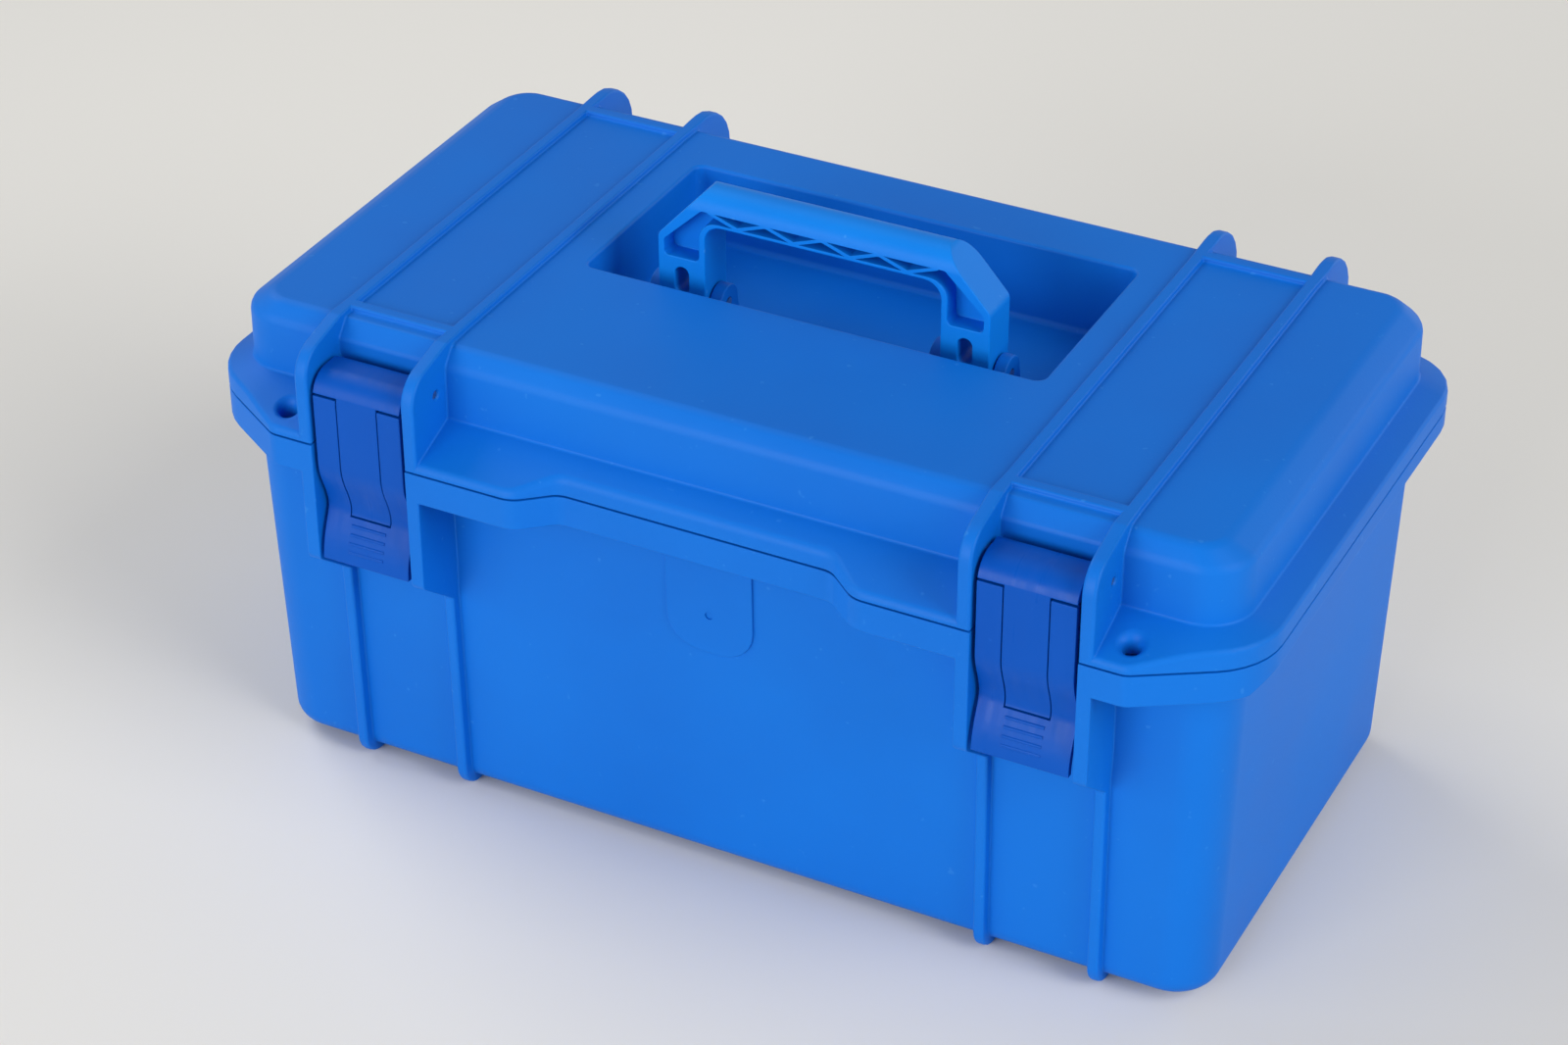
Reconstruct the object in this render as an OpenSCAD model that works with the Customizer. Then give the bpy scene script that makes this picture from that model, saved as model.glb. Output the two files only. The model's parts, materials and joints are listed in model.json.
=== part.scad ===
// Hard tool case: a deep ribbed box, a lid with a sunk carrying handle, two draw latches, two rear hinges.
// X runs along the case, Y from front (minus) to rear (plus), Z up. The origin is under the centre.

/* [Case] */
// Outside length of the walls at the rim
case_len = 405.8; // [380:1:450]
// Outside depth of the walls at the rim
case_dep = 203.8; // [190:1:240]
// Height of the parting line above the ground
seam_z = 161.6; // [130:1:200]
// Wall thickness of both shells
wall = 2.8; // [2:0.1:3.6]
// Radius of the upright corners of the walls
corner_r = 18; // [14:0.5:24]
// Lean of the base walls in degrees
draft = 1.3; // [0:0.1:1.6]
// Radius between the base walls and the floor
floor_r = 8; // [5:0.5:12]
// Height of the feet under the floor
foot_h = 3.4; // [2:0.2:6]

/* [Rim] */
// Height of the rim band around the base
band_h = 13; // [10:0.5:16]
// How far the rim stands out at the ends
rim_end = 10.7; // [10:0.5:16]
// How far the rim stands out at the rear
rim_rear = 10.9; // [9:0.1:12]
// How far the rim stands out in the middle of the front
rim_front = 11.2; // [10:0.1:13]
// How far the rim, the cheeks and the ears stand out at the front
ear_out = 22.9; // [22:0.1:26]
// Half length of the set-back middle of the front rim
recess_half = 55.4; // [40:1:66]
// Length of the slanted step at each end of the set-back
recess_step = 13.7; // [11:0.5:20]
// How far the rim's lower edge is cut back at the ends
end_cut = 5; // [2:0.5:7]
// Open gap between the two rims
seam_gap = 0.8; // [0.4:0.1:1.2]
// Thickness of the rim's skirt and web
rim_t = 2.6; // [2:0.1:3.2]
// Height of the ledge where it meets the lid wall, above the parting line
ledge_z = 12; // [11:0.5:14]
// Fall of the ledge in degrees
ledge_fall = 20.5; // [16:0.5:24]
// Height of the locating tongue inside the rim
tongue_h = 3; // [2:0.5:5]
// Thickness of the locating tongue
tongue_t = 2; // [1.6:0.1:2.6]
// Clearance between the tongue and the lid wall
tongue_gap = 0.6; // [0.4:0.1:1]
// Radius of the holes for a padlock
padlock_r = 3.4; // [3:0.1:4.2]

/* [Lid] */
// Height of the lid's top above the parting line
lid_h = 40.5; // [39.5:0.1:48]
// Fall of the slope around the lid's top
slope_h = 6.5; // [4:0.1:9]
// Width of that slope at the ends
slope_end = 9.7; // [5:0.1:11]
// Width of that slope at the front and rear
slope_side = 5.7; // [4:0.1:8]
// Corner radius of the lid's top
deck_r = 10.5; // [8:0.5:14]
// Width of the ribs over the lid and down the base
rib_w = 4.6; // [3:0.2:5.4]
// How far the ribs stand above the lid
rib_h = 2.1; // [1.4:0.1:3.4]
// How far the ribs stand out from the base walls
rib_out = 4; // [3:0.25:5]
// Width of the cross bars between the ribs
bar_w = 5; // [4:0.5:7]
// Distance from the edge of the lid's top to a cross bar
bar_in = 4.3; // [3:0.1:6]

/* [Handle pocket] */
// Length of the pocket
pocket_len = 190; // [172:1:210]
// Depth of the pocket from front to rear
pocket_dep = 91.2; // [84:1:104]
// How far the pocket's middle lies behind the case's middle
pocket_y = 23.9; // [20:0.5:27]
// How far the pocket is sunk below the lid's top
pocket_h = 33.3; // [29:0.5:34]
// Corner radius of the pocket
pocket_r = 4; // [3:0.5:8]

/* [Handle] */
// Length of the handle over its legs
handle_len = 138; // [120:1:150]
// Thickness of the handle from front to rear
handle_t = 17.7; // [15:0.5:19]
// Distance from the handle's middle to the pocket's front wall
handle_in = 19.8; // [17:0.2:24]
// Height of the pivot above the pocket's floor
pivot_h = 20; // [17:0.25:22]
// Height of the handle above its pivot
handle_h = 49.5; // [46:0.5:56]
// Width of a leg
leg_w = 20; // [17:0.5:23]
// Height of the shoulders above the pivot
shoulder_h = 28; // [24:0.5:30]
// Width that the slanted shoulders take at each end
shoulder_w = 19.4; // [15:0.5:22]
// Depth of the grip from its crown to its underside
grip_h = 13.3; // [12:0.1:15]
// Wall thickness of the handle's frame
frame_t = 2.6; // [2:0.2:3.2]
// Thickness of the struts and the web
strut_t = 1.4; // [1:0.1:2]
// Number of V struts under the grip
struts = 4; // [3:1:6]
// Width of the slot in a leg
slot_w = 5.8; // [4:0.2:7]
// Thickness of the ears that carry the handle
ear_t = 5; // [4:0.25:6]
// Gap between a leg and an ear
ear_gap = 0.6; // [0.4:0.1:1]
// Radius of the ears and of the leg ends
ear_r = 7.3; // [6.5:0.1:8.4]
// Radius of the handle pins
handle_pin_r = 2; // [1.5:0.25:2.5]

/* [Latches] */
// Distance from the end of the walls to the middle of a latch, and of the hinge behind it
latch_end = 68.15; // [64:0.5:72]
// Width of a latch
latch_w = 37.5; // [34:0.5:42]
// Gap between a latch and a cheek
latch_gap = 1.5; // [1:0.25:2]
// Thickness of a cheek
cheek_t = 5.5; // [5:0.25:7]
// How far the base cheeks reach down below the parting line
cheek_drop = 51; // [46:1:60]
// Width of the tongue in the middle of a latch
tongue_w = 17.2; // [14:0.2:20]
// Thickness of the latch plates
plate_t = 2.8; // [2.4:0.1:3.2]
// How far the latch lies behind the front of the cheeks
latch_in = 1.3; // [0.6:0.1:2]
// Height of the link's pin above the parting line
link_pin_z = 25.4; // [24.6:0.2:26.4]
// Distance from the lid wall to the link's pin
link_pin_out = 6.5; // [6.2:0.1:7.2]
// Radius of the link's pin
link_pin_r = 1.5; // [1.25:0.25:1.75]
// Height of the lever's pin above the parting line
lever_pin_z = 12; // [10:0.5:13]
// Radius of the lever's pin
lever_pin_r = 1.25; // [1:0.25:1.5]
// Depth of the lever's waist below the parting line
waist_z = 29.5; // [27:0.5:31]
// How far the waist lies behind the latch's face
waist_in = 5.2; // [4:0.2:6]
// How far the pull tab reaches down below the parting line
tab_z = 50; // [46:0.5:56]
// Overlap of the claws behind the edge of the catch
claw_bite = 4.5; // [3:0.25:5]
// Gap between the claws and the catch
claw_gap = 0.6; // [0.5:0.1:0.9]
// How far the catch stands out from the base wall
catch_out = 11.1; // [10.3:0.2:11.9]

/* [Hinges] */
// Distance from the rim's rear edge to the hinge axis
hinge_out = 3.6; // [3.4:0.2:5]
// Depth of the hinge axis below the parting line
hinge_drop = 3; // [2:0.5:5]
// Radius of the fins around the hinge pin
fin_r = 7.4; // [7:0.2:8]
// Radius of the upper rear corner of the fins
fin_corner_r = 20; // [14:1:24]
// Radius of the base lugs around the hinge pin
lug_r = 6.2; // [5.6:0.2:6.6]
// Thickness of the base lugs
lug_t = 6; // [5:0.5:8]
// Gap between fins and lugs
lug_gap = 0.6; // [0.4:0.1:1]
// Radius of the hinge pins
hinge_pin_r = 2; // [1.5:0.25:2.5]

/* [Front pad] */
// Length of the raised pad
pad_len = 36; // [28:1:50]
// How far the pad reaches down below the parting line
pad_drop = 59.5; // [50:0.5:70]
// Corner radius of the pad
pad_r = 14; // [8:1:15]
// How far the pad stands out
pad_out = 1; // [0.6:0.1:1.6]
// Radius of the blind hole in the pad
pad_hole_r = 1.7; // [1:0.1:2.5]

/* [Hidden] */

eps = 0.01;
over = 1;
run = 0.05;
steps = 6;
case_blue = "#1e6ed2";
handle_blue = "#1590e6";
latch_blue = "#0a4bc4";
steel = "#b4b8bd";

half_len = case_len / 2;
half_dep = case_dep / 2;
latch_x = half_len - latch_end;
front_y = -half_dep - ear_out;
recess_y = -half_dep - rim_front;
rear_y = half_dep + rim_rear;
rim_x = half_len + rim_end;
base_top = seam_z - seam_gap / 2;
lid_bottom = seam_z + seam_gap / 2;
band_z = seam_z - band_h;
deck_z = seam_z + lid_h;
rib_z = deck_z + rib_h;
slope_z = deck_z - slope_h;
lid_lean = 0.3;
deck_len = case_len - 2 * (lid_lean + slope_end);
deck_dep = case_dep - 2 * (lid_lean + slope_side);
bar_y = deck_dep / 2 - bar_in - bar_w / 2;

// Ears of the front rim, cut off slantwise at the case's corners, with the padlock holes in them
ear_len = 12.1;
ear_lean = 31.6;
ear_x = latch_x + latch_w / 2 + latch_gap + cheek_t + ear_len;
ear_end_y = front_y + (rim_x - ear_x) * tan(ear_lean);
padlock_wall = 3.4;
padlock_boss = padlock_r + padlock_wall;
padlock_x = ear_x - 1.9;
padlock_y = front_y + padlock_boss + 3.1;

// Rounding of the rim: set-back, step, both ends of the slanted ear, rear corner
recess_r = 9;
step_r = 12;
ear_front_r = 8;
ear_side_r = 30;
rim_corner_r = corner_r + 9;

// Shelf inside the base rim that carries the tongue
tongue_in = wall + tongue_gap + tongue_t;
shelf_h = 4;

// Cheeks and ribs, measured from the middle of a latch
pocket_half = latch_w / 2 + latch_gap;
rib_mid = pocket_half + cheek_t / 2;
cheek_top_r = 12;
cheek_top_z = seam_z + 36.5;
cheek_low_r = 4;
cheek_end_z = seam_z - cheek_drop;
cheek_foot_z = cheek_end_z - 17;
cheek_foot_in = 2.2;
cheek_taper = 13;
rib_taper = 14;
rib_front_r = 5;
rib_front_y = -deck_dep / 2 - 3;
catch_y = -half_dep - catch_out;
ledge_cut_y = -half_dep - 10.1;

// Handle
pocket_z = deck_z - pocket_h;
pocket_front = pocket_y - pocket_dep / 2;
handle_y = pocket_front + handle_in;
pivot_z = pocket_z + pivot_h;
handle_half = handle_len / 2;
handle_top = pivot_z + handle_h;
shoulder_z = pivot_z + shoulder_h;
grip_low = handle_top - grip_h;
leg_in = handle_half - leg_w;
inner_r = 7;
crown_z = handle_top - handle_t / 2;
web_half = strut_t / 2;
truss_half = leg_in - 2.2;
chord_z = grip_low + strut_t;
crown_sides = 96;
chord_top = crown_z + handle_t / 2 * sin(2 * 360 / crown_sides);
slot_floor = 2.2;
slot_low = pivot_z + handle_pin_r + slot_floor;
slot_top = slot_low + 11.4;
window_low = slot_top + 1.6 * frame_t;
outer_r = 4.5;
field_r = 2;
field_in_r = 8;
field_end = 0.8;
leg_r = handle_t / 2;
pin_end = leg_w / 2 + ear_gap + ear_t;
ear_flare = 4;
leg_mid = handle_half - leg_w / 2;

// Latches
face_y = front_y + latch_in;
link_pin_y = -half_dep - link_pin_out;
link_z = seam_z + link_pin_z;
boss_wall = 1.75;
boss_r = lever_pin_r + boss_wall;
lever_pin_y = face_y + boss_r + 0.2;
lever_z = seam_z + lever_pin_z;
slit_z = lever_z + 10.3;
slit = 0.9;
wing_top = slit_z - slit;
dip_top = seam_z - 8;
waist_low = seam_z - waist_z;
tongue_end = waist_low - 1.6;
tongue_slit = 0.6;
face_step = 2;
tab_low = seam_z - tab_z;
tab_out = 0.9;
side_gap = 0.35;
head_back_r = 4.2;
head_top = link_z + head_back_r + 0.3;
head_face_r = 9.5;
head_low = head_top - head_face_r - 2 * over;
head_flat = 0.8;
head_chin = 1;
claw_y = catch_y + claw_bite;
claw_top = band_z - claw_gap;
claw_h = 4.6;
claw_back = claw_top + 7;
claw_side = 1.6;
claw_w = (latch_w - tongue_w) / 2 - claw_side;
claw_root = 2.5;
claw_foot = 2;
claw_fall = 1.4;
claw_low_r = 1;
claw_tip_r = 0.6;
claw_root_r = 1.2;
grip_lines = 4;
grip_step = 3.3;
grip_low_z = tab_low + 5.5;
grip_r = 0.75;

// Hinges
hinge_y = rear_y + hinge_out;
hinge_z = seam_z - hinge_drop;
fin_y = hinge_y + fin_r;
lug_mid = pocket_half - lug_gap - lug_t / 2;
lug_cut_y = hinge_y - lug_r - 1.2;
lug_foot_z = band_z - 26;
lug_lean = 40;
pin_in = 0.8;

// Front pad
pad_hole_z = seam_z - 0.72 * pad_drop;

function unit(v) = v / norm(v);

// Arc that rounds corner b of the line a, b, c
function corner(a, b, c, r) =
    let (u = unit(a - b), v = unit(c - b))
    let (half = acos(u * v) / 2)
    let (m = b + unit(u + v) * r / sin(half))
    let (p = b + u * r / tan(half) - m, q = b + v * r / tan(half) - m)
    let (start = atan2(p.y, p.x), turn = atan2(q.y, q.x) - start)
    let (sweep = turn > 180 ? turn - 360 : turn < -180 ? turn + 360 : turn)
    [for (i = [0 : steps]) m + r * [cos(start + sweep * i / steps), sin(start + sweep * i / steps)]];

// Outline through points [x, y, radius]
function soft(p) =
    let (n = len(p))
    [for (i = [0 : n - 1])
        let (a = p[(i + n - 1) % n], b = p[i], c = p[(i + 1) % n])
        each (b.z > 0 ? corner([a.x, a.y], [b.x, b.y], [c.x, c.y], b.z) : [[b.x, b.y]])];

function flip(p) = [for (i = [len(p) - 1 : -1 : 0]) [-p[i].x, p[i].y, p[i].z]];

function box_points(l, d, r) =
    [[-l / 2, -d / 2, r], [l / 2, -d / 2, r], [l / 2, d / 2, r], [-l / 2, d / 2, r]];

// Right half of the rim's outline, moved inwards by t
function rim_half(t) =
    [[recess_half + t / 2, recess_y + t, recess_r],
     [recess_half + recess_step + t / 2, front_y + t, step_r],
     [ear_x - t / 3, front_y + t, ear_front_r],
     [rim_x - t, ear_end_y + t / 3, ear_side_r],
     [rim_x - t, rear_y - t, rim_corner_r - t]];

module rim_plate(t) {
    polygon(soft(concat(rim_half(t), flip(rim_half(t)))));
}

module mirror_x() {
    children();
    mirror([1, 0, 0]) children();
}

// Upright plate w thick at x, drawn as an outline in Y and Z
module plate_yz(x, w) {
    translate([x - w / 2, 0, 0])
        rotate([90, 0, 90])
            linear_extrude(w)
                children();
}

// Round bar along X
module bar_x(x0, x1, y, z, r) {
    translate([x0, y, z])
        rotate([0, 90, 0])
            cylinder(r = r, h = x1 - x0, $fn = 48);
}

module block(x0, x1, y0, y1, z0, z1) {
    translate([x0, y0, z0])
        cube([x1 - x0, y1 - y0, z1 - z0]);
}

// Drafted box with rounded corners and a rounded floor edge
module tub(l, d, z0, z1, r, fr) {
    lean = (z1 - z0) * tan(draft);
    hull()
        for (sx = [-1, 1], sy = [-1, 1]) {
            translate([sx * (l / 2 - r), sy * (d / 2 - r), z1 - eps])
                cylinder(r = r, h = eps, $fn = 48);
            translate([sx * (l / 2 - lean - r), sy * (d / 2 - lean - r), z0 + fr])
                rotate_extrude($fn = 48)
                    translate([r - fr, 0])
                        circle(r = fr, $fn = 32);
        }
}

// Lid form: leaning walls, then a slope, then the flat top, moved inwards by t
module dome(t, z0) {
    levels = [[case_len, case_dep, z0, corner_r],
              [case_len - 2 * lid_lean, case_dep - 2 * lid_lean, slope_z - t / 2, corner_r],
              [deck_len, deck_dep, deck_z - t, deck_r]];
    hull()
        for (v = levels, sx = [-1, 1], sy = [-1, 1]) {
            r = v[3] - t;
            translate([sx * (v[0] / 2 - t - r), sy * (v[1] / 2 - t - r), v[2] - eps])
                cylinder(r = r, h = eps, $fn = 64);
        }
}

// Hipped form that gives the ledge its fall, t below the outer one
module ledge_roof(t) {
    run_out = ledge_z / tan(ledge_fall);
    hull()
        for (sx = [-1, 1], sy = [-1, 1]) {
            translate([sx * (half_len - corner_r), sy * (half_dep - corner_r),
                       seam_z + ledge_z + over * tan(ledge_fall) - t - eps])
                cylinder(r = corner_r - over, h = eps, $fn = 64);
            translate([sx * (half_len - corner_r), sy * (half_dep - corner_r), seam_z - t])
                cylinder(r = corner_r + run_out, h = eps, $fn = 64);
        }
}

// Places a child at both latches, both cheeks of each
module at_cheeks() {
    for (latch = [-latch_x, latch_x], side = [-1, 1])
        translate([latch + side * rib_mid, 0, 0])
            children();
}

module at_latches() {
    for (latch = [-latch_x, latch_x])
        translate([latch, 0, 0])
            children();
}

module base_rib_outline() {
    low = floor_r + foot_h;
    lean_low = (seam_z - foot_h) * tan(draft);
    y_top = half_dep + rib_out - band_h * tan(draft);
    y_low = half_dep + rib_out - lean_low;
    polygon(soft([[-y_top, band_z, 0], [-y_low, 0, low], [y_low, 0, low], [y_top, band_z, 0]]));
}

module base_cheek_outline() {
    polygon(soft([[front_y, base_top, 0], [front_y, cheek_end_z, cheek_low_r],
                  [-half_dep - rib_out + cheek_foot_in, cheek_foot_z, 1], [-half_dep + wall, cheek_foot_z, 0],
                  [-half_dep + wall, base_top, 0]]));
}

// Cheek of the base, narrowing to the rib's width at its foot
module base_cheek() {
    half = cheek_t / 2;
    slim = rib_w / 2;
    slim_z = cheek_end_z - cheek_taper;
    intersection() {
        plate_yz(0, 2 * cheek_t)
            base_cheek_outline();
        translate([0, half_dep, 0])
            rotate([90, 0, 0])
                linear_extrude(2 * case_dep)
                    polygon([[half, seam_z], [half, cheek_end_z], [slim, slim_z],
                             [slim, cheek_foot_z - over], [-slim, cheek_foot_z - over],
                             [-slim, slim_z], [-half, cheek_end_z], [-half, seam_z]]);
    }
}

module base_lug_outline() {
    translate([hinge_y, hinge_z])
        circle(r = lug_r, $fn = 64);
    polygon([[half_dep - wall, base_top], [half_dep - wall, lug_foot_z], [half_dep, lug_foot_z],
             [hinge_y + lug_r * cos(lug_lean), hinge_z - lug_r * sin(lug_lean)], [hinge_y, hinge_z],
             [hinge_y - lug_r, hinge_z], [hinge_y - lug_r, base_top]]);
}

module base_shell() {
    color(case_blue)
        difference() {
            union() {
                tub(case_len, case_dep, foot_h, base_top, corner_r, floor_r);
                difference() {
                    translate([0, 0, band_z])
                        linear_extrude(base_top - band_z)
                            rim_plate(0);
                    translate([0, 0, band_z - over])
                        linear_extrude(base_top - band_z - rim_t + over)
                            difference() {
                                rim_plate(rim_t);
                                polygon(soft(box_points(case_len - over, case_dep - over, corner_r)));
                            }
                    mirror_x()
                        translate([0, case_dep, 0])
                            rotate([90, 0, 0])
                                linear_extrude(2 * case_dep)
                                    polygon([[rim_x - end_cut - over, band_z - over],
                                             [rim_x + over, band_z - over],
                                             [rim_x + over, band_z + end_cut + over]]);
                    at_latches()
                        block(-pocket_half, pocket_half, front_y - over, catch_y, band_z - over, seam_z);
                    at_latches()
                        block(-rib_mid - cheek_t / 2 - lug_gap, rib_mid + cheek_t / 2 + lug_gap,
                              hinge_y - fin_r - lug_gap, rear_y + over, band_z - over, seam_z);
                }
                // Catches under the latches
                at_latches()
                    block(-pocket_half, pocket_half, catch_y, -half_dep + wall / 2, band_z, base_top);
                at_cheeks()
                    plate_yz(0, rib_w)
                        base_rib_outline();
                at_cheeks()
                    base_cheek();
                // Padlock bosses
                mirror_x()
                    translate([padlock_x, padlock_y, band_z])
                        cylinder(r = padlock_boss, h = base_top - band_z, $fn = 64);
                // Raised pad in the middle of the front
                front_pad();
                for (latch = [-latch_x, latch_x], side = [-1, 1])
                    plate_yz(latch + side * lug_mid, lug_t)
                        base_lug_outline();
                // Locating tongue
                translate([0, 0, base_top - over])
                    linear_extrude(tongue_h + over)
                        polygon(soft(box_points(case_len - 2 * wall - 2 * tongue_gap,
                                                case_dep - 2 * wall - 2 * tongue_gap,
                                                corner_r - wall)));
            }
            tub(case_len - 2 * wall, case_dep - 2 * wall, foot_h + wall, base_top - shelf_h,
                corner_r - wall, floor_r - wall);
            translate([0, 0, base_top - shelf_h - over])
                linear_extrude(shelf_h + tongue_h + 2 * over)
                    polygon(soft(box_points(case_len - 2 * tongue_in, case_dep - 2 * tongue_in,
                                            corner_r - tongue_in)));
            mirror_x()
                translate([padlock_x, padlock_y, band_z - over])
                    cylinder(r = padlock_r, h = band_h + 2 * over, $fn = 64);
            at_latches()
                bar_x(-rib_mid - cheek_t, rib_mid + cheek_t, hinge_y, hinge_z, hinge_pin_r + run);
        }
}

module front_pad() {
    tilt = 90 + draft;
    difference() {
        intersection() {
            translate([0, -half_dep, base_top])
                rotate([tilt, 0, 0])
                    translate([0, 0, -over])
                        linear_extrude(pad_out + over)
                            polygon(soft([[-pad_len / 2, 0, 0], [-pad_len / 2, -pad_drop, pad_r],
                                          [pad_len / 2, -pad_drop, pad_r], [pad_len / 2, 0, 0]]));
            block(-pad_len, pad_len, front_y, 0, 0, band_z + over);
        }
        translate([0, -half_dep + pad_out / 2, pad_hole_z])
            rotate([90, 0, 0])
                cylinder(r = pad_hole_r, h = 2 * pad_out + over, $fn = 32);
    }
}

module lid_rib_outline() {
    polygon(soft([[front_y, lid_bottom, 0], [front_y, cheek_top_z, cheek_top_r],
                  [rib_front_y, rib_z, rib_front_r], [half_dep, rib_z, 0],
                  [fin_y, rib_z, fin_corner_r], [fin_y, hinge_z, 0],
                  [hinge_y - fin_r, hinge_z, 0], [hinge_y - fin_r, lid_bottom, 0]]));
    translate([hinge_y, hinge_z])
        circle(r = fin_r, $fn = 64);
}

module lid_shell() {
    color(case_blue)
        difference() {
            union() {
                difference() {
                    union() {
                        dome(0, lid_bottom + eps);
                        difference() {
                            intersection() {
                                translate([0, 0, lid_bottom])
                                    linear_extrude(ledge_z + over)
                                        rim_plate(0);
                                ledge_roof(0);
                            }
                            difference() {
                                intersection() {
                                    translate([0, 0, lid_bottom - over])
                                        linear_extrude(ledge_z)
                                            rim_plate(rim_t);
                                    ledge_roof(rim_t);
                                }
                                at_latches()
                                    block(-rib_mid - cheek_t, rib_mid + cheek_t, -case_dep, case_dep,
                                          0, case_dep);
                            }
                            at_latches()
                                block(-pocket_half, pocket_half, front_y - over, ledge_cut_y,
                                      seam_z, deck_z);
                            at_latches()
                                block(-pocket_half, pocket_half, lug_cut_y, rear_y + over,
                                      seam_z, deck_z);
                        }
                        at_cheeks()
                            lid_rib();
                        // Cross bars between the ribs
                        for (latch = [-latch_x, latch_x], end = [-bar_y, bar_y])
                            block(latch - rib_mid, latch + rib_mid, end - bar_w / 2, end + bar_w / 2,
                                  deck_z - wall / 2, rib_z);
                    }
                    dome(wall, lid_bottom - over);
                }
                translate([0, pocket_y, pocket_z - wall])
                    linear_extrude(pocket_h + wall / 2)
                        polygon(soft(box_points(pocket_len + 2 * wall, pocket_dep + 2 * wall,
                                                pocket_r + wall)));
                mirror_x()
                    intersection() {
                        translate([padlock_x, padlock_y, lid_bottom])
                            cylinder(r = padlock_boss, h = ledge_z, $fn = 64);
                        ledge_roof(0);
                    }
            }
            difference() {
                translate([0, pocket_y, pocket_z])
                    linear_extrude(pocket_h + over)
                        polygon(soft(box_points(pocket_len, pocket_dep, pocket_r)));
                handle_ears();
            }
            mirror_x()
                translate([padlock_x, padlock_y, seam_z - over])
                    cylinder(r = padlock_r, h = ledge_z + over, $fn = 64);
            at_latches()
                bar_x(-rib_mid - cheek_t, rib_mid + cheek_t, link_pin_y, link_z, link_pin_r + run);
            at_latches()
                bar_x(-rib_mid - cheek_t, rib_mid + cheek_t, hinge_y, hinge_z, hinge_pin_r + run);
            mirror_x()
                bar_x(leg_mid - pin_end - over, leg_mid + pin_end + over, handle_y, pivot_z,
                      handle_pin_r + run);
        }
}

// One rib of the lid, as wide as a cheek before and behind the lid, narrowing over its top
module lid_rib() {
    intersection() {
        plate_yz(0, 2 * cheek_t)
            lid_rib_outline();
        translate([0, 0, hinge_z - 2 * fin_r])
            linear_extrude(rib_z)
                rib_plan();
    }
}

module rib_plan() {
    half = cheek_t / 2;
    slim = rib_w / 2;
    bend_y = half_dep - slope_side / 2;
    slim_y = bend_y - rib_taper;
    polygon([[half, front_y - over], [half, -bend_y], [slim, -slim_y], [slim, slim_y],
             [half, bend_y], [half, fin_y + over], [-half, fin_y + over], [-half, bend_y],
             [-slim, slim_y], [-slim, -slim_y], [-half, -bend_y], [-half, front_y - over]]);
}

module ear_outline() {
    foot = ear_r + ear_flare;
    polygon([[handle_y - foot, pocket_z - eps], [handle_y + foot, pocket_z - eps],
             [handle_y + ear_r, pivot_z], [handle_y - ear_r, pivot_z]]);
    translate([handle_y, pivot_z])
        circle(r = ear_r, $fn = 64);
}

module handle_ears() {
    away = leg_w / 2 + ear_gap + ear_t / 2;
    mirror_x()
        for (side = [-away, away])
            plate_yz(leg_mid + side, ear_t)
                ear_outline();
}

// Front view of the handle: legs, shoulders and grip
module handle_outline() {
    difference() {
        polygon(soft([[-handle_half, pivot_z - leg_r, 0], [-handle_half, shoulder_z, outer_r],
                      [-handle_half + shoulder_w, handle_top, outer_r],
                      [handle_half - shoulder_w, handle_top, outer_r],
                      [handle_half, shoulder_z, outer_r], [handle_half, pivot_z - leg_r, 0]]));
        polygon(soft([[-leg_in, pivot_z - leg_r - over, 0], [leg_in, pivot_z - leg_r - over, 0],
                      [leg_in, grip_low, inner_r], [-leg_in, grip_low, inner_r]]));
    }
}

// Side view of the handle: round crown and round leg ends
module handle_side() {
    translate([handle_y, pivot_z])
        circle(r = handle_t / 2, $fn = crown_sides);
    translate([handle_y, crown_z])
        circle(r = handle_t / 2, $fn = crown_sides);
    translate([handle_y - handle_t / 2, pivot_z])
        square([handle_t, crown_z - pivot_z]);
}

// Sunk field that runs from one shoulder, under the grip, to the other, crossed by V struts
module field_outline() {
    out_x = handle_half - frame_t;
    in_x = leg_in + frame_t;
    right = [[in_x, window_low, field_r], [out_x, window_low, field_r],
             [out_x, shoulder_z - outer_r / 3, field_r],
             [handle_half - shoulder_w + field_end, chord_top, field_r]];
    difference() {
        polygon(soft(concat(right, flip(right),
                            [[-in_x, chord_z, field_in_r], [in_x, chord_z, field_in_r]])));
        for (i = [0 : struts - 1], side = [-1, 1]) {
            x = -truss_half + (2 * i + 1) * truss_half / struts;
            strut(x, chord_z, x + side * truss_half / struts, chord_top);
        }
    }
}

module strut(x0, z0, x1, z1) {
    long = norm([x1 - x0, z1 - z0]) + strut_t;
    translate([x0, z0])
        rotate(atan2(z1 - z0, x1 - x0))
            translate([-strut_t / 2, -strut_t / 2])
                square([long, strut_t]);
}

module handle() {
    color(handle_blue)
        difference() {
            intersection() {
                translate([0, handle_y + handle_t / 2, 0])
                    rotate([90, 0, 0])
                        linear_extrude(handle_t)
                            handle_outline();
                plate_yz(0, handle_len + 2 * over)
                    handle_side();
            }
            for (side = [0, 1])
                translate([0, handle_y, 0])
                    mirror([0, side, 0])
                        translate([0, -web_half, 0])
                            rotate([90, 0, 0])
                                linear_extrude(handle_t)
                                    field_outline();
            mirror_x()
                translate([leg_mid, handle_y + handle_t, 0])
                    rotate([90, 0, 0])
                        linear_extrude(2 * handle_t)
                            polygon(soft(slot_points()));
            mirror_x()
                bar_x(leg_mid - leg_w, leg_mid + leg_w, handle_y, pivot_z, handle_pin_r + run);
        }
}

function slot_points() =
    let (half = slot_w / 2, r = half - eps)
    [[-half, slot_low, r], [half, slot_low, r], [half, slot_top, r], [-half, slot_top, r]];

module handle_pin(side) {
    color(steel)
        bar_x(side * leg_mid - pin_end, side * leg_mid + pin_end, handle_y, pivot_z, handle_pin_r);
}

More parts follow.
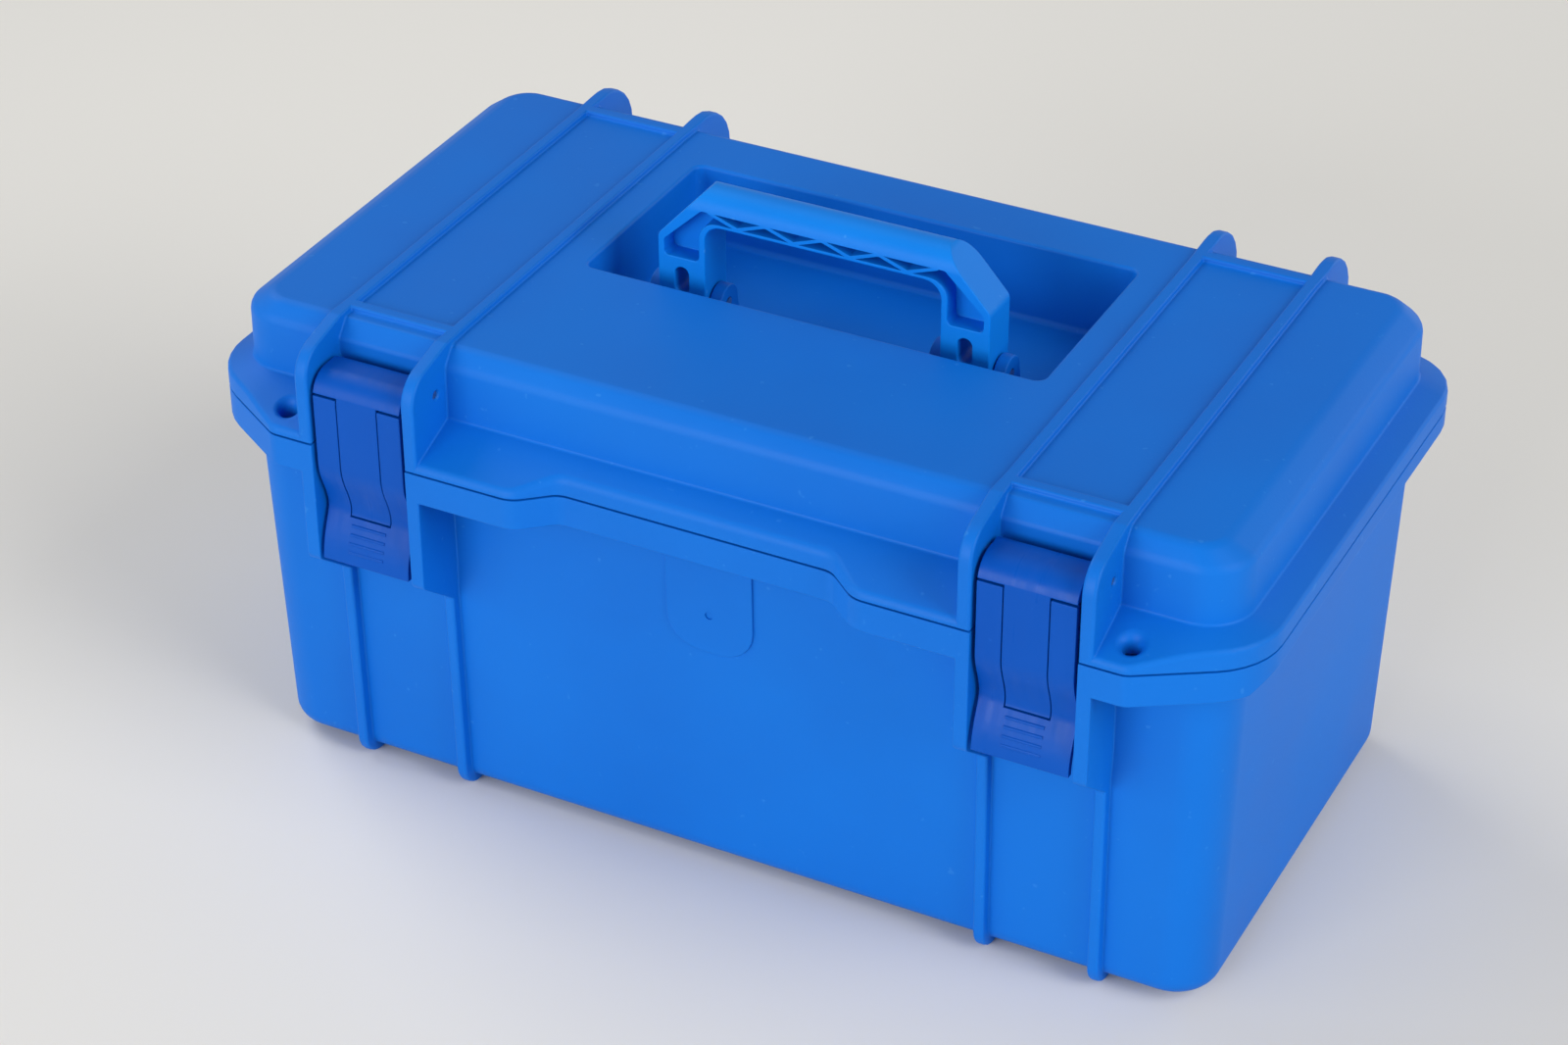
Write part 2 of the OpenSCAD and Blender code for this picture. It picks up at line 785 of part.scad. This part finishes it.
module handle_pin_left() { handle_pin(-1); }
module handle_pin_right() { handle_pin(1); }

module hinge_pin(side) {
    reach = pocket_half + cheek_t - pin_in;
    color(steel)
        bar_x(side * latch_x - reach, side * latch_x + reach, hinge_y, hinge_z, hinge_pin_r);
}

module hinge_pin_left() { hinge_pin(-1); }
module hinge_pin_right() { hinge_pin(1); }

module link_pin(side) {
    reach = pocket_half + cheek_t - pin_in;
    color(steel)
        bar_x(side * latch_x - reach, side * latch_x + reach, link_pin_y, link_z, link_pin_r);
}

module latch_left_link_pin() { link_pin(-1); }
module latch_right_link_pin() { link_pin(1); }

module lever_pin(side) {
    reach = latch_w / 2 - pin_in;
    color(steel)
        bar_x(side * latch_x - reach, side * latch_x + reach, lever_pin_y, lever_z, lever_pin_r);
}

module latch_left_lever_pin() { lever_pin(-1); }
module latch_right_lever_pin() { lever_pin(1); }

// Side view of the link's head around its pin
module head_outline() {
    back_y = link_pin_y + head_back_r;
    round = head_back_r - head_flat / 2;
    polygon(soft([[back_y, link_z - head_back_r, round], [link_pin_y - head_back_r - head_chin, head_low, 0],
                  [face_y, head_low, 0], [face_y, head_top, head_face_r], [back_y, head_top, round]]));
}

// Face of the latch from z0 to z1, as a line of points that follows its waist, at heights all plates share
function face_points(z0, z1, in) =
    let (low = min(z0, z1), high = max(z0, z1))
    let (first = ceil((low - tab_low) / face_step + eps), last = floor((high - tab_low) / face_step - eps))
    let (zs = concat([low], [for (k = [first : last]) tab_low + k * face_step], [high]))
    [for (i = [0 : len(zs) - 1])
        let (z = zs[z1 > z0 ? i : len(zs) - 1 - i])
        [face_y + in + face_dip(z), z]];

// How far the face lies in at height z
function face_dip(z) =
    z > dip_top ? 0
    : z > waist_low ? waist_in * (1 - cos(180 * (dip_top - z) / (dip_top - waist_low))) / 2
    : waist_in - (waist_in + tab_out) * sin(90 * min(1, (waist_low - z) / (waist_low - tab_low)));

module face_sheet(z0, z1, t) {
    front = face_points(z0, z1, 0);
    back = face_points(z0, z1, t);
    polygon(concat(front, [for (i = [len(back) - 1 : -1 : 0]) back[i]]));
}

module lever_boss_outline() {
    translate([lever_pin_y, lever_z])
        circle(r = boss_r, $fn = 48);
}

// Hole for a pin through the whole latch
module latch_bore(side, y, z, r) {
    bar_x(side * latch_x - latch_w, side * latch_x + latch_w, y, z, r + run);
}

module latch_link(side) {
    color(latch_blue)
        difference() {
            union() {
                intersection() {
                    plate_yz(side * latch_x, latch_w)
                        head_outline();
                    block(-case_len, case_len, -case_dep, case_dep, slit_z, rib_z);
                }
                plate_yz(side * latch_x, tongue_w) {
                    head_outline();
                    face_sheet(tongue_end, head_low + over, plate_t);
                    lever_boss_outline();
                }
            }
            latch_bore(side, link_pin_y, link_z, link_pin_r);
            latch_bore(side, lever_pin_y, lever_z, lever_pin_r);
        }
}

module latch_left_link() { latch_link(-1); }
module latch_right_link() { latch_link(1); }

// Hook on the back of the lever, grown out of its plate
module claw_outline() {
    low = claw_top - claw_h;
    inside = face_y + plate_t;
    root = [for (p = face_points(claw_back, low - claw_foot, plate_t / 2)) [p.x, p.y, 0]];
    polygon(soft(concat(root, [[inside + claw_root, low, 0], [claw_y, low + claw_fall, claw_low_r],
                               [claw_y, claw_top, claw_tip_r],
                               [inside + claw_root, claw_top, claw_root_r], [inside, claw_back, 0]])));
}

module latch_lever(side) {
    wing_w = (latch_w - tongue_w) / 2 - side_gap;
    wing_mid = latch_w / 2 - wing_w / 2;
    color(latch_blue)
        difference() {
            union() {
                for (wing = [-wing_mid, wing_mid])
                    plate_yz(side * latch_x + wing, wing_w) {
                        face_sheet(tongue_end - tongue_slit - over, wing_top, plate_t);
                        lever_boss_outline();
                    }
                plate_yz(side * latch_x, latch_w)
                    face_sheet(tab_low, tongue_end - tongue_slit, plate_t);
                for (wing = [-wing_mid, wing_mid])
                    plate_yz(side * latch_x + wing, claw_w)
                        claw_outline();
                // Raised grip lines on the pull tab
                for (i = [0 : grip_lines - 1])
                    grip_line(side, grip_low_z + grip_step * i);
            }
            latch_bore(side, lever_pin_y, lever_z, lever_pin_r);
        }
}

module grip_line(side, z) {
    y = face_y + face_dip(z) + grip_r / 2;
    bar_x(side * latch_x - latch_w / 5, side * latch_x + latch_w / 5, y, z, grip_r);
}

module latch_left_lever() { latch_lever(-1); }
module latch_right_lever() { latch_lever(1); }

base_shell();
lid_shell();
handle();
handle_pin_left();
handle_pin_right();
hinge_pin_left();
hinge_pin_right();
latch_left_link();
latch_left_lever();
latch_left_link_pin();
latch_left_lever_pin();
latch_right_link();
latch_right_lever();
latch_right_link_pin();
latch_right_lever_pin();
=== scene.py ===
import heapq
import json
import math
import bmesh
import bpy
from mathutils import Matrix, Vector

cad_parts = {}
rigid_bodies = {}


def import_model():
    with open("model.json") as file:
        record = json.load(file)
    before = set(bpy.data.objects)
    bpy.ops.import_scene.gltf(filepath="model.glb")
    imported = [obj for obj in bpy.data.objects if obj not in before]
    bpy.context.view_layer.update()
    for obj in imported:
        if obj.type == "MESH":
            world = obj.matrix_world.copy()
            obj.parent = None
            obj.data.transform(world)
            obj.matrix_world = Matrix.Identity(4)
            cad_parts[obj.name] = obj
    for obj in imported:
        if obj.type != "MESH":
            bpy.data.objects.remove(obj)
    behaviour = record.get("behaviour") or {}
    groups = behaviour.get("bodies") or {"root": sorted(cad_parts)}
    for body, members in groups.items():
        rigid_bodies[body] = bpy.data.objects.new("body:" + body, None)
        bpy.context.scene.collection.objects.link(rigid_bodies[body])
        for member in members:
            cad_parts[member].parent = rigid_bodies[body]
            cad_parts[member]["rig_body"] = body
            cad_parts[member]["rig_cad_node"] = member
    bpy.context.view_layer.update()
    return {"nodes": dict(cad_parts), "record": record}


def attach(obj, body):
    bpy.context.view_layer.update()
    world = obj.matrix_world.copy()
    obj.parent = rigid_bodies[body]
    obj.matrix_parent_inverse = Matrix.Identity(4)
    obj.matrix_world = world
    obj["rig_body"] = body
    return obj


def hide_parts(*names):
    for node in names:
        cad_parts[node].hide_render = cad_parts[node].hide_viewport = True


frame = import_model()
nodes = frame["nodes"]
mm = 0.001
plenty = 1.0                                                  # metres: more room than any rounding needs


def deselectAll():
    if bpy.context.object and bpy.context.object.mode != "OBJECT":
        bpy.ops.object.mode_set(mode="OBJECT")
    bpy.ops.object.select_all(action="DESELECT")


def makeActive(piece):
    deselectAll()
    piece.select_set(True)
    bpy.context.view_layer.objects.active = piece


def applyModifier(piece, kind, **settings):
    makeActive(piece)
    modifier = piece.modifiers.new(kind.title(), kind)
    for name, value in settings.items():
        setattr(modifier, name, value)
    bpy.ops.object.modifier_apply(modifier=modifier.name)


def bodyOf(nodeName):
    groups = frame["record"]["behaviour"]["bodies"]
    return next(body for body, members in groups.items() if nodeName in members)


def linear(rgb):
    # a screen colour of 0 to 255 as the linear colour that sockets take
    return tuple(c / 255 / 12.92 if c <= 10 else ((c / 255 + 0.055) / 1.055) ** 2.4 for c in rgb) + (1,)


class nodeMaker:
    def __init__(self, name):
        self.material = bpy.data.materials.new(name)
        self.material.use_nodes = True
        self.tree = self.material.node_tree
        self.shader = self.tree.nodes["Principled BSDF"]
        self.place = self.add("ShaderNodeTexCoord").outputs["Object"]

    def add(self, kind, links=None, **values):
        made = self.tree.nodes.new(kind)
        for name, value in values.items():
            if hasattr(made, name):
                setattr(made, name, value)
            else:
                made.inputs[name.replace("_", " ")].default_value = value
        for name, source in (links or {}).items():
            self.tree.links.new(source, made.inputs[name])
        return made

    def noise(self, scale, detail=2, rough=0.5, stretch=(1, 1, 1)):
        spread = self.add("ShaderNodeMapping", {"Vector": self.place})
        spread.inputs["Scale"].default_value = stretch
        made = self.add("ShaderNodeTexNoise", {"Vector": spread.outputs["Vector"]},
                        Scale=scale, Detail=detail, Roughness=rough)
        return made.outputs["Fac"]

    def ramp(self, source, stops):
        made = self.add("ShaderNodeValToRGB", {"Fac": source})
        elements = made.color_ramp.elements
        while len(elements) < len(stops):
            elements.new(0.5)
        for element, (position, colour) in zip(elements, stops):
            element.position = position
            element.color = colour if len(colour) == 4 else linear(colour)
        return made.outputs["Color"]

    def mapped(self, source, low, high, fromLow=0.0, fromHigh=1.0):
        made = self.add("ShaderNodeMapRange", {"Value": source})
        for name, value in zip(("From Min", "From Max", "To Min", "To Max"), (fromLow, fromHigh, low, high)):
            made.inputs[name].default_value = value
        return made.outputs["Result"]

    def mixed(self, factor, first, second):
        made = self.add("ShaderNodeMix", data_type="RGBA")
        self.tree.links.new(factor, made.inputs[0])
        for socket, value in ((made.inputs[6], first), (made.inputs[7], second)):
            if isinstance(value, tuple):
                socket.default_value = linear(value)
            else:
                self.tree.links.new(value, socket)
        return made.outputs[2]

    def feed(self, socket, source):
        self.tree.links.new(source, self.shader.inputs[socket])


# Marks in the plastic, counted per metre
mouldMarks = {"clouds": 9, "dust": 260, "drag": 420, "grain": 900}
mouldedPlastic = {
    "caseBlue": {"base": (4, 109, 208), "dark": (3, 103, 201), "speck": (60, 140, 220), "specks": 0.3,
                 "rough": (0.46, 0.54), "shine": 0.16, "grain": 0.12, "streaks": 0.0},
    "handleAzure": {"base": (5, 123, 220), "dark": (4, 116, 213), "speck": (90, 175, 240), "specks": 0.25,
                    "rough": (0.42, 0.50), "shine": 0.14, "grain": 0.07, "streaks": 0.0},
    "latchBlue": {"base": (0, 81, 180), "dark": (0, 75, 172), "speck": (50, 120, 215), "specks": 0.15,
                  "rough": (0.34, 0.42), "shine": 0.13, "grain": 0.03, "streaks": 0.25},
}


def plasticMaterial(name, look):
    made = nodeMaker(name)
    broad = made.noise(mouldMarks["clouds"], 3)
    fine = made.noise(mouldMarks["grain"], 2)
    dust = made.noise(mouldMarks["dust"], 1)
    colour = made.ramp(broad, [(0.35, look["dark"]), (0.65, look["base"])])
    speck = made.ramp(dust, [(0.745, (0, 0, 0, 1)), (0.80, (look["specks"],) * 3 + (1,))])
    made.feed("Base Color", made.mixed(speck, colour, look["speck"]))
    drag = made.noise(mouldMarks["drag"], 2, stretch=(1, 0.05, 0.05))
    rough = made.mapped(broad, look["rough"][0], look["rough"][1], 0.3, 0.7)
    streaks = made.mapped(drag, -look["streaks"], look["streaks"], 0.3, 0.7)
    streaked = made.add("ShaderNodeMath", {0: streaks, 1: rough, 2: rough}, operation="MULTIPLY_ADD")
    made.feed("Roughness", streaked.outputs[0])
    bump = made.add("ShaderNodeBump", {"Height": fine}, Strength=look["grain"], Distance=0.25 * mm)
    made.feed("Normal", bump.outputs["Normal"])
    made.shader.inputs["Specular IOR Level"].default_value = look["shine"]
    return made.material


def steelMaterial():
    made = nodeMaker("pinSteel")
    drawn = made.noise(1.0, 2, stretch=(12, 900, 900))
    made.feed("Base Color", made.ramp(drawn, [(0.3, (150, 152, 156)), (0.7, (190, 192, 196))]))
    made.feed("Roughness", made.mapped(drawn, 0.25, 0.42))
    made.shader.inputs["Metallic"].default_value = 1
    return made.material


plastics = {name: plasticMaterial(name, look) for name, look in mouldedPlastic.items()}
pinSteel = steelMaterial()
print("materials made")


# Roundings in mm: (x, y, z ranges, outer edges, inner edges); x counts from the middle, so both halves match
baseMoulding = {
    "name": "baseMoulding", "finish": "caseBlue", "slot": "case_plastic", "outer": 0.6, "inner": 0.5,
    "places": [
        ((120, 156), (100, 122), (150, 162), 0.3, 0.25),      # hinge lugs
        ((160, 185), (-130, -105), (145, 153), 0.35, 0.3),    # rim beside the cheeks
        ((0, 220), (-130, 130), (160.4, 166), 0.35, 0.3),     # seam and tongue
        ((0, 200), (-99, 99), (5, 161), 0.5, 0.5),            # inside
        ((0, 2.5), (-106, -100), (116, 121.5), 0.0, 0.0),     # hole in the pad stays crisp
        ((0, 19), (-106, -100), (98, 150), 0.45, 0.3),        # front pad
        ((108.5, 161), (-126, -99), (90, 161), 1.3, 0.8),     # cheeks
        ((108.5, 161), (-112, 112), (-1, 150), 1.2, 0.9),     # ribs
        ((0, 220), (-130, 130), (140, 156), 0.8, 0.7),        # lower edge of the rim
    ],
}
lidMoulding = {
    "name": "lidMoulding", "finish": "caseBlue", "slot": "case_plastic", "outer": 0.6, "inner": 0.6,
    "places": [
        ((0, 220), (-130, 130), (158, 162.6), 0.35, 0.3),     # seam
        ((0, 50), (-14, 14), (180, 199), 0.5, 0.5),           # inner ears of the handle
        ((41, 77), (-16, 13), (165, 199), 0.6, 0.5),          # the other ears and all their feet
        ((0, 95.6), (-22.5, 70.3), (201, 203), 1.5, 1.0),     # mouth of the pocket
        ((0, 95.6), (-22.5, 70.3), (168, 170), 1.0, 2.6),     # floor of the pocket
        ((108.4, 161.1), (-126, -97), (162, 205), 1.3, 0.8),  # cheeks
        ((108.4, 161.1), (97, 126), (150, 205), 1.2, 0.8),    # hinge fins
        ((108.4, 161.1), (-99, 99), (201.5, 205), 0.9, 0.8),  # ribs and bars
        ((0, 220), (-130, 130), (172.5, 175), 0.8, 0.9),      # crease over the ledge
        ((0, 220), (-130, 130), (163, 172), 3.0, 0.9),        # ledge
        ((0, 220), (-130, 130), (190, 204), 2.4, 0.8),        # slope around the top
    ],
}
carryHandle = {
    "name": "carryHandle", "finish": "handleAzure", "slot": "handle_plastic", "outer": 0.6, "inner": 0.4,
    "places": [
        ((0, 48), (-9.9, 6.1), (220, 232), 0.3, 0.3),         # truss
        ((0, 48), (-12, 8), (225, 231), 0.25, 0.2),           # rims beside the truss
    ],
}
latchLink = {"finish": "latchBlue", "slot": "latch_plastic", "outer": 0.35, "inner": 0.25, "places": []}
latchLever = {
    "finish": "latchBlue", "slot": "latch_plastic", "outer": 0.35, "inner": 0.25,
    "places": [
        ((126.5, 143), (-125, -119), (115, 129), 0.0, 0.0),   # grip lines stay crisp
        ((115, 155), (-120.5, -116), (129, 139), 0.1, 0.1),   # foot of the waist
    ],
}
mouldings = {
    "base_shell": baseMoulding,
    "lid_shell": lidMoulding,
    "handle": carryHandle,
    "latch_left_link": {**latchLink, "name": "leftLatchLink"},
    "latch_right_link": {**latchLink, "name": "rightLatchLink"},
    "latch_left_lever": {**latchLever, "name": "leftLatchLever"},
    "latch_right_lever": {**latchLever, "name": "rightLatchLever"},
}
# Folds and turns in degrees, lengths in mm
bevelling = {
    "merged": 0.1,                                            # points nearer than this are one
    "flat": 0.6,                                              # faces that fold less are one face
    "leastFold": 26,                                          # rounded edges fold by more than this
    "mostFold": 160,                                          # and by less than this
    "smooth": 35,                                             # shading runs on over smaller folds
    "widest": 4.0,                                            # width of a full bevel weight
    "segments": 3,
    "share": 0.9,                                             # part of the room that a width may fill
    "slip": 0.8,                                              # how far a corner may slide along its line
    "bend": 50,                                               # sharper turns end a run of edges
    "acute": 0.35,                                            # sine of half a nearly closed corner
    "thinnest": 0.02,                                         # radians: least angle reckoned with
    "touching": 1e-6,                                         # metres: edges nearer than this set no limit
}


def foldOf(edge):
    return math.degrees(abs(edge.calc_face_angle_signed(0)))


def widthAt(edge, look):
    outwards = edge.calc_face_angle_signed(0) > 0
    middle = (edge.verts[0].co + edge.verts[1].co) / 2 / mm
    spot = (abs(middle.x), middle.y, middle.z)
    for *ranges, outer, inner in look["places"]:
        if all(low <= value <= high for value, (low, high) in zip(spot, ranges)):
            return outer if outwards else inner
    return look["outer"] if outwards else look["inner"]


def cornerAngle(face, vert):
    loop = next(l for l in face.loops if l.vert == vert)
    return loop.calc_angle() if loop.is_convex else 2 * math.pi - loop.calc_angle()


def sweepAt(edge, face, vert, wanted):
    # walks around the vertex, from this face to the next rounded edge: angle swept, room that
    # the edges on the way leave for a width, and whether a rounded edge was met
    first, angle, between = edge, 0.0, []
    while True:
        angle += cornerAngle(face, vert)
        edge = next(other for other in face.edges if other != edge and vert in other.verts)
        if edge == first or edge in wanted:
            break
        between.append((edge, angle))
        face = next(other for other in edge.link_faces if other != face)
    if edge != first:
        meet = abs(math.sin(angle / 2))
        room = [other.calc_length() * meet for other, _ in between]
        if meet < bevelling["acute"]:
            room.append(bevelling["slip"] * mm * meet)
        return angle, min(room, default=plenty), True
    angle = between[0][1]
    room = [other.calc_length() for other, _ in between]
    return angle, min(room + [between[0][0].calc_length() * abs(math.sin(angle))]), False


def endsRoom(face, edge, length, wanted):
    # room that the corners at the edge's two ends leave
    room, shrink = plenty, 0.0
    for vert in edge.verts:
        angle, space, joined = sweepAt(edge, face, vert, wanted)
        room = min(room, space)
        shrink += 1 / math.tan(max(angle / 2 if joined else angle, bevelling["thinnest"]))
    return min(room, length / shrink) if shrink > 0 else room


def reachOf(ends, length, passed):
    # distance to the part of another edge that lies beside this one; ends are (along, away)
    if passed:
        return min((away for along, away in ends if 0 < along < length), default=plenty)
    if max(ends[0][0], ends[1][0]) <= 0 or min(ends[0][0], ends[1][0]) >= length:
        return plenty
    reaches = []
    for (along, away), (farAlong, farAway) in (ends, ends[::-1]):
        if not 0 <= along <= length:
            limit = 0 if along < 0 else length
            away += (farAway - away) * (limit - along) / (farAlong - along)
        reaches.append(away)
    return min(reaches)


def faceRoom(face, edge, wanted):
    # room, in mm, that this face leaves beside the edge before it meets the face's other edges
    start, end = edge.verts[0].co, edge.verts[1].co
    along = (end - start).normalized()
    length = (end - start).length
    inward = face.normal.cross(along)
    loop = next(l for l in face.loops if l.edge == edge)
    if loop.vert == edge.verts[1]:
        inward = -inward
    room = endsRoom(face, edge, length, wanted)
    for other in face.edges:
        if set(other.verts) & set(edge.verts):
            continue
        ends = [((vert.co - start).dot(along), (vert.co - start).dot(inward)) for vert in other.verts]
        passed = other not in wanted and foldOf(other) < bevelling["flat"]
        reach = reachOf(ends, length, passed)
        if reach > bevelling["touching"]:
            mine, theirs = wanted[edge], wanted.get(other, 0)
            room = min(room, reach * mine / (mine + theirs))
    return room / mm * bevelling["share"]


def turnOf(edge, other, vert):
    along = vert.co - edge.other_vert(vert).co
    return along.angle(other.other_vert(vert).co - vert.co)


def growth(edge, other, vert):
    # how much wider the next edge may be: unequal widths push their shared corner along the line
    turn = turnOf(edge, other, vert)
    if turn > math.radians(bevelling["bend"]):
        return bevelling["widest"]
    slip = min(bevelling["slip"], edge.calc_length() / mm / 3, other.calc_length() / mm / 3)
    return slip * math.sin(turn)


def evenedOut(mesh, widths):
    # nearly straight neighbours share one width: the narrowest spreads first
    queue = [(width, edge.index) for edge, width in widths.items()]
    heapq.heapify(queue)
    mesh.edges.ensure_lookup_table()
    while queue:
        width, index = heapq.heappop(queue)
        edge = mesh.edges[index]
        if width > widths[edge]:
            continue
        for vert in edge.verts:
            others = [other for other in vert.link_edges if other in widths and other != edge]
            if len(others) != 1:
                continue
            grown = width + growth(edge, others[0], vert)
            if grown < widths[others[0]]:
                widths[others[0]] = grown
                heapq.heappush(queue, (grown, others[0].index))


def weightedEdges(piece, look):
    mesh = bmesh.new()
    mesh.from_mesh(piece.data)
    mesh.edges.index_update()
    weights = mesh.edges.layers.float.new("bevel_weight_edge")
    wanted = {edge: widthAt(edge, look) for edge in mesh.edges
              if bevelling["leastFold"] < foldOf(edge) < bevelling["mostFold"]}
    wanted = {edge: width for edge, width in wanted.items() if width > 0}
    widths = {edge: min([width] + [faceRoom(face, edge, wanted) for face in edge.link_faces])
              for edge, width in wanted.items()}
    evenedOut(mesh, widths)
    for edge, width in widths.items():
        edge[weights] = width / bevelling["widest"]
    mesh.to_mesh(piece.data)
    mesh.free()


def roundedCopy(nodeName, look):
    piece = nodes[nodeName].copy()
    piece.data = nodes[nodeName].data.copy()
    piece.name = piece.data.name = look["name"]
    piece.parent = None
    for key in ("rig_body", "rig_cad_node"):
        del piece[key]
    bpy.context.scene.collection.objects.link(piece)
    makeActive(piece)
    bpy.ops.object.mode_set(mode="EDIT")
    bpy.ops.mesh.select_all(action="SELECT")
    bpy.ops.mesh.remove_doubles(threshold=bevelling["merged"] * mm)
    bpy.ops.mesh.dissolve_limited(angle_limit=math.radians(bevelling["flat"]))
    bpy.ops.object.mode_set(mode="OBJECT")
    weightedEdges(piece, look)
    applyModifier(piece, "BEVEL", width=bevelling["widest"] * mm, segments=bevelling["segments"],
                  limit_method="WEIGHT", use_clamp_overlap=False, loop_slide=False)
    piece.data.materials.clear()
    piece.data.materials.append(plastics[look["finish"]])
    makeActive(piece)
    bpy.ops.object.shade_smooth_by_angle(angle=math.radians(bevelling["smooth"]))
    applyModifier(piece, "WEIGHTED_NORMAL", keep_sharp=True, weight=100)
    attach(piece, bodyOf(nodeName))
    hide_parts(nodeName)
    return piece


for nodeName, look in mouldings.items():
    piece = roundedCopy(nodeName, look)
    print("rounded", piece.name, len(piece.data.polygons))

for nodeName in nodes:
    if nodeName.endswith("pin") or "_pin_" in nodeName:
        nodes[nodeName].data.materials.clear()
        nodes[nodeName].data.materials.append(pinSteel)
print("pins finished")


# Lengths in metres, powers in watts
studio = {
    "floor": (234, 232, 227),
    "floorSize": 60,
    "lit": (0.6, 1.4),                                        # lamplit floor fades into the backdrop
    "backdrop": (205, 204, 201),
    "roomLight": 0.22,
    "aim": (0, 0, 0.1),
    "lamps": {                                                # place, size, power
        "frontSoftbox": ((-1.0, -5.0, 1.3), (3.2, 2.4), 160),
        "leftSoftbox": ((-3.8, -3.4, 1.7), (3.0, 2.6), 44),
        "topSoftbox": ((-3.2, 0.8, 3.3), (2.8, 2.4), 72),
        "rightSoftbox": ((4.0, -1.0, 1.7), (2.4, 2.0), 76),
        "upperRightSoftbox": ((3.4, -0.4, 3.3), (2.4, 2.0), 56),
        "rearSoftbox": ((1.8, 4.4, 0.95), (2.8, 1.6), 32),
    },
}


def combined(tree, operation, first, second):
    made = tree.nodes.new("ShaderNodeMath")
    made.operation = operation
    made.use_clamp = True
    tree.links.new(first, made.inputs[0])
    tree.links.new(second, made.inputs[1])
    return made.outputs["Value"]


def lookedAt(tree):
    rays = tree.nodes.new("ShaderNodeLightPath").outputs
    total = rays["Is Camera Ray"]
    for name in ("Is Glossy Ray", "Is Transmission Ray"):
        total = combined(tree, "ADD", total, rays[name])
    return total


def blend(tree, share, near, far, output):
    mix = tree.nodes.new("ShaderNodeMixShader")
    for socket, source in zip(mix.inputs, (share, near, far)):
        tree.links.new(source, socket)
    tree.links.new(mix.outputs["Shader"], output.inputs["Surface"])


def floorMaterial():
    made = nodeMaker("paleFloor")
    made.shader.inputs["Base Color"].default_value = linear(studio["floor"])
    made.shader.inputs["Roughness"].default_value = 0.9
    made.shader.inputs["Specular IOR Level"].default_value = 0.0
    far = made.add("ShaderNodeVectorMath", {"Vector": made.place}, operation="LENGTH")
    start, end = studio["lit"]
    fade = made.add("ShaderNodeMapRange", {"Value": far.outputs["Value"]},
                    interpolation_type="SMOOTHSTEP", From_Min=start, From_Max=end)
    backdrop = made.add("ShaderNodeEmission", Color=linear(studio["backdrop"]))
    share = combined(made.tree, "MULTIPLY", fade.outputs["Result"], lookedAt(made.tree))
    blend(made.tree, share, made.shader.outputs["BSDF"], backdrop.outputs["Emission"],
          made.tree.nodes["Material Output"])
    return made.material


def sweepFloor():
    deselectAll()
    bpy.ops.mesh.primitive_plane_add(size=studio["floorSize"], location=(0, 0, 0))
    floor = bpy.context.object
    floor.name = "studioSweep"
    floor.data.materials.append(floorMaterial())


def softbox(name, place, size, power):
    deselectAll()
    bpy.ops.object.light_add(type="AREA", location=place)
    lamp = bpy.context.object
    lamp.name = name
    towards = Vector(studio["aim"]) - Vector(place)
    lamp.rotation_euler = towards.to_track_quat("-Z", "Y").to_euler()
    lamp.data.shape = "RECTANGLE"
    lamp.data.size, lamp.data.size_y = size
    lamp.data.energy = power


def paleRoom():
    world = bpy.data.worlds.new("paleRoom")
    bpy.context.scene.world = world
    world.use_nodes = True
    tree = world.node_tree
    fill = tree.nodes["Background"]
    fill.inputs["Color"].default_value = (1, 1, 1, 1)
    fill.inputs["Strength"].default_value = studio["roomLight"]
    backdrop = tree.nodes.new("ShaderNodeBackground")
    backdrop.inputs["Color"].default_value = linear(studio["backdrop"])
    blend(tree, lookedAt(tree), fill.outputs["Background"], backdrop.outputs["Background"],
          tree.nodes["World Output"])


sweepFloor()
for name, (place, size, power) in studio["lamps"].items():
    softbox(name, place, size, power)
paleRoom()

cameraSpot = {
    "place": (0.5452, -1.1064, 0.9077),
    "turn": (56.788, 0.106, 27.038),
    "lens": 86.77,
    "sensor": 36,
    "reach": 50,
}

deselectAll()
turn = [math.radians(angle) for angle in cameraSpot["turn"]]
bpy.ops.object.camera_add(location=cameraSpot["place"], rotation=turn)
camera = bpy.context.object
camera.data.lens = cameraSpot["lens"]
camera.data.sensor_width = cameraSpot["sensor"]
camera.data.clip_end = cameraSpot["reach"]
bpy.context.scene.camera = camera
bpy.context.scene.view_settings.view_transform = "Standard"
print("stage set")
